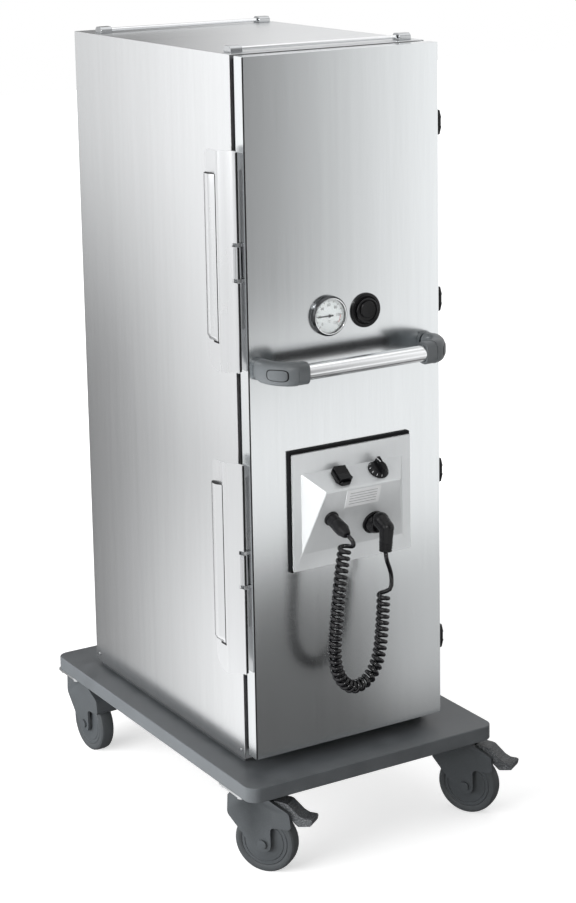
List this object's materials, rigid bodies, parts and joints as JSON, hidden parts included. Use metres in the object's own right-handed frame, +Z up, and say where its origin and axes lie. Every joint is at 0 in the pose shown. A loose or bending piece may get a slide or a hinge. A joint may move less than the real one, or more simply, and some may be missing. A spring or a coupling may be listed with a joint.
{
  "type": "heated food transport trolley",
  "caption": "Tall insulated food trolley: one full-height hinged door with side latches, plug-in heating module, push handle, roof rails and a wheeled bumper base.",
  "frame": {"origin": "on the floor under the middle of the outline", "axes": "+Z up, the door faces -Y, its hinges are on the +X side"},
  "size_m": [0.6152, 0.896, 1.59],
  "materials": {
    "satin_steel": "brushed",
    "door_steel": "brushed",
    "module_steel": "satin",
    "chrome_bar": "polished",
    "zinc": "zinc plated",
    "base_grey": "fine grain",
    "dark_grey_plastic": "matt",
    "black_plastic": "satin",
    "black_rubber": "matt",
    "cord_black": "glossy",
    "tyre_grey": "matt",
    "foam": "rigid foam",
    "dial_white": "printed",
    "clear": "clear",
    "label_grey": "matt",
    "heater_metal": "heat tinted",
    "needle_black": "painted"
  },
  "bodies": {
    "root": {"base_plate": "base_grey", "plinth_board": "base_grey", "side_panel_left": "satin_steel", "side_panel_right": "satin_steel", "top_panel": "satin_steel", "back_panel": "satin_steel", "insulation": "foam", "inner_liner": "satin_steel", "front_frame": "satin_steel", "runner_walls": "satin_steel", "pan_runners": "satin_steel", "gallery_rails": "chrome_bar", "gallery_brackets": "dark_grey_plastic", "latch_strikes": "zinc", "hinge_blocks": "black_plastic", "hinge_pins": "zinc", "caster_plates": "zinc", "caster_bolts": "zinc"},
    "door": {"door_skin": "door_steel", "door_liner": "satin_steel", "door_insulation": "foam", "door_seal": "black_rubber", "hinge_leaves": "black_plastic", "handle_bar": "chrome_bar", "handle_brackets": "dark_grey_plastic", "thermometer_case": "chrome_bar", "thermometer_dial": "dial_white", "thermometer_glass": "clear", "vent_rosette": "black_plastic", "module_seal": "black_rubber", "module_frame": "module_steel", "label_plate": "label_grey", "fan_motor": "zinc", "heater_ring": "heater_metal", "fan_cover": "zinc", "switch_boot": "black_plastic", "cable_gland": "black_plastic", "parking_socket": "black_plastic", "plug": "black_plastic", "curly_cord": "cord_black", "latch_bases": "door_steel"},
    "thermometer_needle": {"thermometer_needle": "needle_black"},
    "vent_knob": {"vent_knob": "black_plastic"},
    "fan_wheel": {"fan_wheel": "zinc"},
    "switch_rocker": {"switch_rocker": "black_plastic"},
    "thermostat_knob": {"thermostat_knob": "black_plastic"},
    "latch_upper": {"latch_lever_upper": "door_steel"},
    "latch_lower": {"latch_lever_lower": "door_steel"},
    "fork_fl": {"caster_fork_fl": "dark_grey_plastic"},
    "wheel_fl": {"caster_wheel_fl": "tyre_grey"},
    "pedal_fl": {"brake_pedal_fl": "dark_grey_plastic"},
    "fork_fr": {"caster_fork_fr": "dark_grey_plastic"},
    "wheel_fr": {"caster_wheel_fr": "tyre_grey"},
    "pedal_fr": {"brake_pedal_fr": "dark_grey_plastic"},
    "fork_bl": {"caster_fork_bl": "dark_grey_plastic"},
    "wheel_bl": {"caster_wheel_bl": "tyre_grey"},
    "fork_br": {"caster_fork_br": "dark_grey_plastic"},
    "wheel_br": {"caster_wheel_br": "tyre_grey"}
  },
  "joints": [
    {"name": "door_hinge", "type": "hinge", "parent": "root", "child": "door", "pos_m": [0.1849, -0.3205, 0.9], "axis": [0, 0, 1], "range_deg": [0, 180]},
    {"name": "needle_turn", "type": "hinge", "parent": "door", "child": "thermometer_needle", "pos_m": [-0.0801, -0.3445, 1.077], "axis": [0, -1, 0], "range_deg": [-165, 30]},
    {"name": "vent_turn", "type": "hinge", "parent": "door", "child": "vent_knob", "pos_m": [0.0039, -0.3465, 1.077], "axis": [0, -1, 0], "range_deg": [0, 90]},
    {"name": "fan_spin", "type": "hinge", "parent": "door", "child": "fan_wheel", "pos_m": [-0.0366, -0.2885, 0.7], "axis": [0, 1, 0], "continuous": true},
    {"name": "rocker_tilt", "type": "hinge", "parent": "door", "child": "switch_rocker", "pos_m": [-0.0741, -0.37218, 0.77288], "axis": [1, 0, 0], "range_deg": [0, 12]},
    {"name": "thermostat_turn", "type": "hinge", "parent": "door", "child": "thermostat_knob", "pos_m": [0.0109, -0.37218, 0.77288], "axis": [0, -0.6031, 0.7977], "range_deg": [-30, 240]},
    {"name": "latch_upper_turn", "type": "hinge", "parent": "door", "child": "latch_upper", "pos_m": [-0.2636, -0.3225, 1.197], "axis": [0, 0, 1], "range_deg": [0, 80]},
    {"name": "latch_lower_turn", "type": "hinge", "parent": "door", "child": "latch_lower", "pos_m": [-0.2636, -0.3225, 0.606], "axis": [0, 0, 1], "range_deg": [0, 80]},
    {"name": "swivel_fl", "type": "hinge", "parent": "root", "child": "fork_fl", "pos_m": [-0.2636, -0.3135, 0.16], "axis": [0, 0, 1], "continuous": true},
    {"name": "wheel_fl_spin", "type": "hinge", "parent": "fork_fl", "child": "wheel_fl", "pos_m": [-0.24009, -0.34586, 0.0625], "axis": [0.809, 0.5878, 0], "continuous": true},
    {"name": "pedal_fl_press", "type": "hinge", "parent": "fork_fl", "child": "pedal_fl", "pos_m": [-0.22246, -0.37013, 0.128], "axis": [0.809, 0.5878, 0], "range_deg": [0, 12]},
    {"name": "swivel_fr", "type": "hinge", "parent": "root", "child": "fork_fr", "pos_m": [0.2184, -0.3135, 0.16], "axis": [0, 0, 1], "continuous": true},
    {"name": "wheel_fr_spin", "type": "hinge", "parent": "fork_fr", "child": "wheel_fr", "pos_m": [0.2396, -0.34742, 0.0625], "axis": [0.848, 0.5299, 0], "continuous": true},
    {"name": "pedal_fr_press", "type": "hinge", "parent": "fork_fr", "child": "pedal_fr", "pos_m": [0.25549, -0.37286, 0.128], "axis": [0.848, 0.5299, 0], "range_deg": [0, 12]},
    {"name": "swivel_bl", "type": "hinge", "parent": "root", "child": "fork_bl", "pos_m": [-0.2636, 0.4015, 0.16], "axis": [0, 0, 1], "continuous": true},
    {"name": "wheel_bl_spin", "type": "hinge", "parent": "fork_bl", "child": "wheel_bl", "pos_m": [-0.26151, 0.36156, 0.0625], "axis": [0.9986, 0.0523, 0], "continuous": true},
    {"name": "swivel_br", "type": "hinge", "parent": "root", "child": "fork_br", "pos_m": [0.2184, 0.4015, 0.16], "axis": [0, 0, 1], "continuous": true},
    {"name": "wheel_br_spin", "type": "hinge", "parent": "fork_br", "child": "wheel_br", "pos_m": [0.22466, 0.36199, 0.0625], "axis": [0.9877, 0.1564, 0], "continuous": true}
  ]
}
